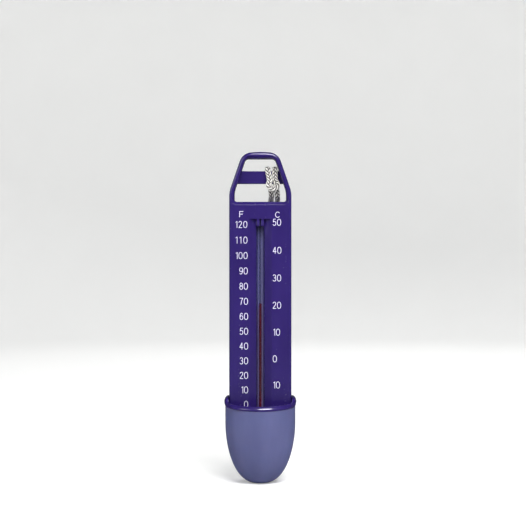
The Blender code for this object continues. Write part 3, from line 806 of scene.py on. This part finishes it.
def make_small_parts():
    """The cushion below the bulb and the bar that keeps the tube in."""
    low_z, high_z = CUSHION_LO[2], CUSHION_HI[2]
    edge = 0.3 * MM
    edge_x = (CUSHION_HI[0] - CUSHION_LO[0]) / 2 - edge
    profile = [(0, high_z), *arc((edge_x, high_z - edge), edge, 90, 0, 5),
               *arc((edge_x, low_z + edge), edge, 0, -90, 5), (0, low_z)]
    piece("tube_cushion_visual", turned(profile, 48), CUSHION,
          replaces=["tube_cushion"], smooth_degrees=40)
    piece("tube_retainer_visual", block(RETAINER_LO, RETAINER_HI, 0.4 * MM), BLUE,
          replaces=["tube_retainer"], smooth_degrees=40)


# ---- Printed scale

def curve_points(points, per_span=8):
    """A smooth Catmull-Rom line through 2D or 3D points."""
    points = [np.array(p, float) for p in points]
    padded = [2 * points[0] - points[1], *points, 2 * points[-1] - points[-2]]
    line = []
    for a, b, c, d in zip(padded, padded[1:], padded[2:], padded[3:]):
        for k in range(per_span):
            t = k / per_span
            line.append(0.5 * (2 * b + (c - a) * t + (2 * a - 5 * b + 4 * c - d) * t ** 2
                               + (3 * b - a - 3 * c + d) * t ** 3))
    return [*line, points[-1]]


def oval(x, z, rx, rz, power=2.35):
    """A closed oval, a little squarer than an ellipse."""
    points = []
    for k in range(41):
        angle = 2 * math.pi * k / 40
        c, v = math.cos(angle), math.sin(angle)
        points.append((x + rx * math.copysign(abs(c) ** (2 / power), c),
                       z + rz * math.copysign(abs(v) ** (2 / power), v)))
    points[-1] = points[0]
    return points


# Centre line of the 6's stem, turned round for the 9
SIX_STEM = curve_points([(1.30, 2.74), (1.02, 3.08), (0.68, 3.12), (0.28, 2.74), (0.05, 2.0),
                         (0.0, 1.02)])

# How wide each character is and its strokes' centre lines, in millimetres from its lower left
GLYPHS = {
    "0": (1.72, [oval(0.86, 1.575, 0.86, 1.575)]),
    "1": (0.62, [[(0.0, 2.72), (0.28, 2.84), (0.62, 3.15)], [(0.62, 3.15), (0.62, 0.0)]]),
    "2": (1.42, [bow(0.70, 2.42, 0.68, 0.73, 165, -38) + [(0.0, 0.0)], [(0.0, 0.0), (1.42, 0.0)]]),
    "3": (1.42, [bow(0.66, 2.39, 0.64, 0.76, 152, -90), bow(0.66, 0.81, 0.74, 0.81, 90, -150)]),
    "4": (1.54, [[(1.06, 3.15), (0.0, 0.92)], [(0.0, 0.92), (1.54, 0.92)], [(1.06, 3.15), (1.06, 0.0)]]),
    "5": (1.40, [[(1.28, 3.15), (0.24, 3.15)], [(0.24, 3.15), (0.12, 1.70)],
                 bow(0.64, 1.02, 0.76, 1.02, 132, -150)]),
    "6": (1.46, [oval(0.73, 0.96, 0.73, 0.96, 2.1), SIX_STEM]),
    "7": (1.42, [[(0.0, 3.15), (1.42, 3.15)], curve_points([(1.42, 3.15), (0.84, 1.72), (0.50, 0.0)])]),
    "8": (1.46, [oval(0.73, 2.41, 0.61, 0.74, 2.1), oval(0.73, 0.83, 0.73, 0.83, 2.1)]),
    "9": (1.46, [oval(0.73, 2.19, 0.73, 0.96, 2.1), [(1.46 - x, 3.15 - z) for x, z in SIX_STEM]]),
    "F": (1.70, [[(0.0, 0.0), (0.0, 2.7)], [(0.03, 2.7), (1.70, 2.7)], [(0.03, 1.38), (1.45, 1.38)]]),
    "C": (2.05, [bow(1.10, 1.35, 1.10, 1.35, 42, 318)]),
}
GLYPH_HEIGHT = 3.15
LETTER_HEIGHT = 2.7
STROKE_RADIUS = 0.14
GLYPH_GAP = 0.72
THREE_DIGIT_WIDTH = 5.62
INK_HEIGHT = 0.035
INK_LIFT = 0.01

# Places on the scale in millimetres
SCALE_TOP_Z = 128.55
Z_PER_DEGREE_F = 0.749
SCALE_SAG = 1.0
F_RIGHT_X = -6.12
F_DRIFT = 0.0065
C_LEFT_X = 6.25
C_TEN_LEFT_X = 6.5
C_SHIFT_Z = -0.45
LETTER_F_PLACE = (-9.5, 133.7)
LETTER_C_PLACE = (8.6, 133.45)


def stroke_rings(points):
    """A flat rounded ribbon along a 2D line, its ends round, lying on the face."""
    line = [np.array(p, float) for p in points]
    closed = np.linalg.norm(line[0] - line[-1]) < 1e-6
    steps = [line[min(i + 1, len(line) - 1)] - line[max(i - 1, 0)] for i in range(len(line))]
    if closed:
        steps[0] = steps[-1] = line[1] - line[-2]
    tangents = [s / np.linalg.norm(s) for s in steps]
    stations = [(p, t, 1.0) for p, t in zip(line, tangents)]
    if not closed:
        for end, way in ((0, -1), (-1, 1)):
            caps = []
            for k in range(1, 6):
                angle = math.radians(90 * k / 5)
                reach = way * STROKE_RADIUS * math.sin(angle)
                caps.append((line[end] + tangents[end] * reach, tangents[end], math.cos(angle)))
            stations = [*stations, *caps] if way > 0 else [*reversed(caps), *stations]
    rings = []
    for place, tangent, share in stations:
        across = np.array([tangent[1], -tangent[0]])
        share = max(share, 0.02)
        ring = []
        for k in range(10):
            angle = 2 * math.pi * k / 10
            offset = across * math.cos(angle) * STROKE_RADIUS * share
            rise = INK_HEIGHT * math.sin(angle) * (0.4 + 0.6 * share)
            x, z = place + offset
            ring.append((x * MM, -(INK_LIFT + rise) * MM, z * MM))
        rings.append(ring)
    return rings, closed


def label_mesh(text, x, z, align):
    """Printed characters; x is the left or right edge, or the middle, and z the mid height."""
    drawn = sum(GLYPHS[c][0] for c in text)
    gap = (THREE_DIGIT_WIDTH - drawn) / 2 if len(text) == 3 else GLYPH_GAP
    width = drawn + gap * (len(text) - 1)
    left = {"left": x + STROKE_RADIUS, "right": x - width - STROKE_RADIUS,
            "middle": x - width / 2}[align]
    height = LETTER_HEIGHT if text in "FC" else GLYPH_HEIGHT
    work = bmesh.new()
    for character in text:
        advance, strokes = GLYPHS[character]
        for stroke in strokes:
            rings, closed = stroke_rings([(px + left, pz + z - height / 2) for px, pz in stroke])
            work.from_mesh(face_out(skin(rings[:-1] if closed else rings, joined=closed)))
        left += advance + gap
    mesh = bpy.data.meshes.new("label")
    work.to_mesh(mesh)
    work.free()
    return mesh


def scale_z(fahrenheit):
    """Height of a reading; the spirit's uneven expansion crowds the middle of the scale down."""
    share = (120 - fahrenheit) / 120
    return SCALE_TOP_Z - Z_PER_DEGREE_F * (120 - fahrenheit) - SCALE_SAG * 4 * share * (1 - share)


def make_scale():
    """Fahrenheit on the left, Celsius on the right without minus signs, each under its letter."""
    for value in range(0, 130, 10):
        right = F_RIGHT_X - F_DRIFT * max(0, value - 60)
        mesh = label_mesh(str(value), right, scale_z(value), "right")
        piece(f"scale_f_{value}", mesh, INK)
    for value in range(-10, 60, 10):
        name = f"scale_c_{value}" if value >= 0 else f"scale_c_minus_{-value}"
        left = C_TEN_LEFT_X if abs(value) == 10 else C_LEFT_X
        mesh = label_mesh(str(abs(value)), left, scale_z(value * 1.8 + 32) + C_SHIFT_Z, "left")
        piece(name, mesh, INK)
    for letter, place in (("F", LETTER_F_PLACE), ("C", LETTER_C_PLACE)):
        mesh = label_mesh(letter, *place, "middle")
        piece(f"scale_letter_{letter.lower()}", mesh, INK)


# ---- Cord

YARN_PITCH = 1.65 * MM
YARN_SLANT = 1.1
YARN_OVERLAP = 0.30
YARN_FULLNESS = 0.76
RELIEF = 0.38
RING_POINTS = 64
RING_STEP = 0.15 * MM
END_ROUNDING = 1.2 * MM
PACKED_FROM = 0.55
PACKED_REACH = 0.3


def resample(points, step):
    """Evenly spaced points along a line, with their distances from its start."""
    points = np.array(points, float)
    lengths = np.concatenate([[0], np.cumsum(np.linalg.norm(np.diff(points, axis=0), axis=1))])
    count = max(2, round(lengths[-1] / step) + 1)
    wanted = np.linspace(0, lengths[-1], count)
    return np.stack([np.interp(wanted, lengths, points[:, k]) for k in range(3)], axis=1), wanted


def braid_height(around, along):
    """Relief of a herringbone braid, with its yarn coordinate; around in turns, along in pitches."""
    forward = 1 - np.abs(1 - np.mod(2 * around + 0.5, 2))
    heights, yarns = [], []
    for hand in (-1, 1):
        own = hand * np.cos(2 * math.pi * around)
        phase = along - 2 * YARN_SLANT * forward + 0.25 * hand
        across = 2 * (phase - np.floor(phase)) - 1
        dome = np.sqrt(np.clip(1 - (across / YARN_FULLNESS) ** 2, 0, 1))
        reach = np.clip((own + YARN_OVERLAP) / (2.2 * YARN_OVERLAP), 0, 1)
        heights.append(dome * reach * reach * (3 - 2 * reach))
        fibre_start = 40.5 * hand
        yarns.append(np.stack([phase + fibre_start, 4 * own, np.zeros_like(phase)], axis=-1))
    top = heights[0] >= heights[1]
    return np.where(top, *heights), np.where(top[:, None], *yarns)


def cord_mesh(path, start_length=0.0, side=(1, 0, 0), round_end=False):
    """A braided cord along a path. Returns the mesh, its end length and its last side vector."""
    points, lengths = resample(path, RING_STEP)
    steps = np.gradient(points, axis=0)
    tangents = steps / np.linalg.norm(steps, axis=1)[:, None]
    bends = np.gradient(tangents, axis=0) / (lengths[1] - lengths[0])
    side = np.array(side, float)
    turns = np.arange(RING_POINTS) / RING_POINTS
    angle = 2 * math.pi * turns
    rings, heights, yarns = [], [], []
    total = lengths[-1]
    for point, tangent, bend, length in zip(points, tangents, bends, lengths):
        side = side - tangent * (side @ tangent)
        side /= np.linalg.norm(side)
        other = np.cross(tangent, side)
        height, yarn = braid_height(turns, (start_length + length) / YARN_PITCH)
        swell = 1 - RELIEF * (1 - height)
        if round_end:
            past = max(0.0, 1 - (total - length) / END_ROUNDING)
            swell = swell * math.sqrt(max(0.0, 1 - past ** 2) + 0.0001)
        wide = CORD_HALF_WIDTH * swell * np.cos(angle)
        thick = CORD_HALF_THICKNESS * swell * np.sin(angle)
        offsets = wide[:, None] * side + thick[:, None] * other
        rings.append(point + packed_inside(offsets, bend))
        heights.append(height)
        yarns.append(yarn)
    mesh = face_out(skin(rings))
    for name, kind, key, values in (("height", "FLOAT", "value", heights),
                                    ("yarn", "FLOAT_VECTOR", "vector", yarns)):
        layer = mesh.attributes.new(name, kind, "POINT")
        layer.data.foreach_set(key, np.array(values, np.float32).ravel())
    return mesh, start_length + total, side


def packed_inside(offsets, bend):
    """On the inside of a tight bend the yarns pack together, so that the cord doesn't cross itself.
    It starts at PACKED_FROM of the bend's radius and ends PACKED_REACH of that further in."""
    tightness = np.linalg.norm(bend)
    if tightness < 1:
        return offsets
    inward = bend / tightness
    limit = PACKED_FROM / tightness
    reach = offsets @ inward
    squeezed = limit * (1 + PACKED_REACH * np.tanh((reach - limit) / limit))
    packed = np.where(reach > limit, squeezed, reach)
    return offsets + (packed - reach)[:, None] * inward


def hitch_path():
    """Centre line from the left tail, round the bar and through the bight, to the right tail."""
    front = BAR_FRONT_Y - CORD_CLEARANCE
    back = BAR_REAR_Y + CORD_CLEARANCE
    bight = front - 0.35 * MM
    half = [
        (0, bight, 146.75 * MM),
        (0.85 * MM, bight + 0.02 * MM, 147.05 * MM),
        (1.70 * MM, bight + 0.05 * MM, 147.65 * MM),
        (2.25 * MM, bight + 0.12 * MM, 148.50 * MM),
        (1.90 * MM, front - 0.05 * MM, 149.55 * MM),
        (1.45 * MM, front, 150.80 * MM),
        (1.44 * MM, front, 152.40 * MM),
        (1.58 * MM, front + 0.02 * MM, 153.90 * MM),
        (1.72 * MM, front + 0.12 * MM, 155.20 * MM),
        (1.76 * MM, BAR_FRONT_Y - 0.6 * MM, 156.45 * MM),
        (1.76 * MM, BAR_FRONT_Y + BAR_THICKNESS / 2, 157.00 * MM),
        (1.74 * MM, BAR_REAR_Y + 0.6 * MM, 156.40 * MM),
        (1.72 * MM, back, 154.9 * MM),
        (1.70 * MM, back, BAR_Z),
        (1.62 * MM, back - 0.1 * MM, 150.0 * MM),
        (1.52 * MM, BAR_REAR_Y + 0.2 * MM, 148.2 * MM),
        (1.46 * MM, 6.7 * MM, 146.5 * MM),
        (1.46 * MM, 6.6 * MM, 144.8 * MM),
        (1.50 * MM, 7.3 * MM, 143.0 * MM),
        (1.60 * MM, 9.2 * MM, 142.1 * MM),
        (1.68 * MM, 11.2 * MM, 141.4 * MM),
        (1.73 * MM, 12.2 * MM, 139.8 * MM),
        *((STRAND_OFFSET, TAIL_Y, z) for z in (137.5 * MM, 130 * MM, TOP_CUT_Z)),
    ]
    mirrored = [(-x, y, z) for x, y, z in reversed(half[1:])]
    line = curve_points(mirrored + half, 10)
    for point in line:
        point[0] += np.interp(point[2] / MM, *zip(*CORD_LEAN)) * MM
    return line


def knot_path(side):
    """One tail from the lower cut, through one and a half wraps of the end knot, to its tip."""
    x = TAIL_X + side * STRAND_OFFSET
    middle_y = TAIL_Y + KNOT_RADIUS
    points = [(x, TAIL_Y, LOW_CUT_Z), (x, TAIL_Y, 72 * MM),
              (x - side * 0.2 * MM, TAIL_Y + 0.2 * MM, 66 * MM)]
    first_z = KNOT_Z + (2.9 if side > 0 else 4.3) * MM
    for k in range(14):
        share = k / 13
        angle = math.radians(-90 + side * 25 + 540 * share)
        points.append((TAIL_X + 1.25 * KNOT_RADIUS * math.cos(angle),
                       middle_y + 0.75 * KNOT_RADIUS * math.sin(angle), first_z - 5.6 * MM * share))
    points += [(TAIL_X + side * 1.5 * MM, middle_y - 0.4 * MM, KNOT_Z - 4.6 * MM),
               (x, TAIL_Y + 0.4 * MM, KNOT_Z - 6.4 * MM),
               (TAIL_X + side * 1.85 * MM, TAIL_Y, TIP_Z)]
    return curve_points(points)


def make_cord():
    """The hitch with the tops of both tails, then each tail's middle, and its end with the knot."""
    mesh, end_length, end_side = cord_mesh(hitch_path())
    hitch = piece("cord_hitch_visual", mesh, CORD, body=None, replaces=["cord_hitch"])
    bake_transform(hitch)
    tails = ((-1, "left", 0.0, (1, 0, 0), ["cord_lower_left"]),
             (1, "right", end_length, end_side, ["cord_lower_right", "cord_end_knot"]))
    for side, word, length, facing, lower in tails:
        x = TAIL_X + side * STRAND_OFFSET
        straight = [(x, TAIL_Y, TOP_CUT_Z), (x, TAIL_Y, LOW_CUT_Z)]
        mesh, low_length, low_side = cord_mesh(straight, length, facing)
        strand = piece(f"cord_middle_{word}", mesh, CORD, body=None,
                       replaces=[f"cord_upper_{word}"])
        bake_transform(strand)
        mesh, _, _ = cord_mesh(knot_path(side), low_length, low_side, round_end=True)
        piece(f"cord_tail_{word}", mesh, CORD, body="cord_lower", replaces=lower)


# ---- Stage

# Area lights: name, place, width and height in metres, watts, and whether reflections show it
LIGHTS = [("key_softbox", (0.20, -0.62, 0.82), (0.52, 0.20), 9.5, True),
          ("fill_left", (-0.75, -0.60, 0.56), (0.5, 0.6), 2.4, True),
          ("fill_right", (0.80, -0.45, 0.52), (0.3, 0.6), 1.6, False),
          ("back_light", (0.2, 0.9, 0.8), (0.7, 0.4), 4.0, False)]
LIGHT_TARGET = Vector((0, 0, 0.09))
AMBIENT = 0.30
AMBIENT_IN_REFLECTIONS = 0.05
AMBIENT_COLOUR = (0.95, 0.97, 1.0, 1)

CAMERA_PLACE = (1.35 * MM, -0.6, 109.3 * MM)
SENSOR_WIDTH = 36
SEEN_WIDTH = 0.263


def make_stage():
    """A pale floor that curves up into a round wall, open at the top. It looks dark in reflections."""
    floor_radius, bend, wall_top, sides = 1.1, 0.5, 1.9, 96
    floor_z = -0.2 * MM
    profile = [(floor_radius * k / 12, 0.0) for k in range(1, 13)]
    profile += arc((floor_radius, bend), bend, -84, 0, 14)
    profile.append((floor_radius + bend, wall_top))
    turns = [2 * math.pi * k / sides for k in range(sides)]
    rings = [[(r * math.cos(a), r * math.sin(a), z + floor_z) for a in turns] for r, z in profile]
    mesh = skin(rings, cap_end=False)
    floor = bpy.data.objects.new("stage_floor", mesh)
    bpy.context.scene.collection.objects.link(floor)
    mesh.shade_smooth()
    s = Shader("stage_paper", Roughness=0.9, Specular_IOR_Level=0.1)
    paper = s.mix(s.span(s.noise(30, 3), 0, 1), (0.80, 0.80, 0.79), (0.84, 0.84, 0.83))
    rays = s.node("ShaderNodeLightPath").outputs
    s.link("Base Color", s.mix(rays["Is Glossy Ray"], paper, (0.10, 0.10, 0.11)))
    s.link("Emission Strength", s.maths("MULTIPLY", rays["Is Camera Ray"], 0.24))
    mesh.materials.append(s.material)


def make_lights():
    """Four area lights and a dim sky, dimmer still in reflections."""
    for name, place, size, power, mirrored in LIGHTS:
        data = bpy.data.lights.new(name, "AREA")
        data.shape = "RECTANGLE"
        data.size, data.size_y = size
        data.energy = power
        lamp = bpy.data.objects.new(name, data)
        lamp.location = place
        lamp.rotation_euler = (LIGHT_TARGET - Vector(place)).to_track_quat("-Z", "Y").to_euler()
        lamp.visible_glossy = mirrored
        bpy.context.scene.collection.objects.link(lamp)
    world = bpy.data.worlds.new("studio")
    world.use_nodes = True
    tree = world.node_tree
    background = tree.nodes["Background"]
    rays = tree.nodes.new("ShaderNodeLightPath")
    strength = tree.nodes.new("ShaderNodeMapRange")
    strength.inputs["To Min"].default_value = AMBIENT
    strength.inputs["To Max"].default_value = AMBIENT_IN_REFLECTIONS
    tree.links.new(rays.outputs["Is Glossy Ray"], strength.inputs["Value"])
    tree.links.new(strength.outputs[0], background.inputs["Strength"])
    background.inputs["Color"].default_value = AMBIENT_COLOUR
    bpy.context.scene.world = world
    bpy.context.scene.view_settings.view_transform = "Standard"


def make_camera():
    """A long lens straight from the front, like a catalogue picture."""
    data = bpy.data.cameras.new("camera")
    data.sensor_width = SENSOR_WIDTH
    data.lens = SENSOR_WIDTH * -CAMERA_PLACE[1] / SEEN_WIDTH
    data.clip_start = 0.01
    camera = bpy.data.objects.new("camera", data)
    camera.location = CAMERA_PLACE
    camera.rotation_euler = (math.radians(90), 0, 0)
    bpy.context.scene.collection.objects.link(camera)
    bpy.context.scene.camera = camera


make_body()
make_cover()
make_cup()
make_tube()
make_small_parts()
make_scale()
make_cord()
make_stage()
make_lights()
make_camera()

bpy.context.view_layer.update()
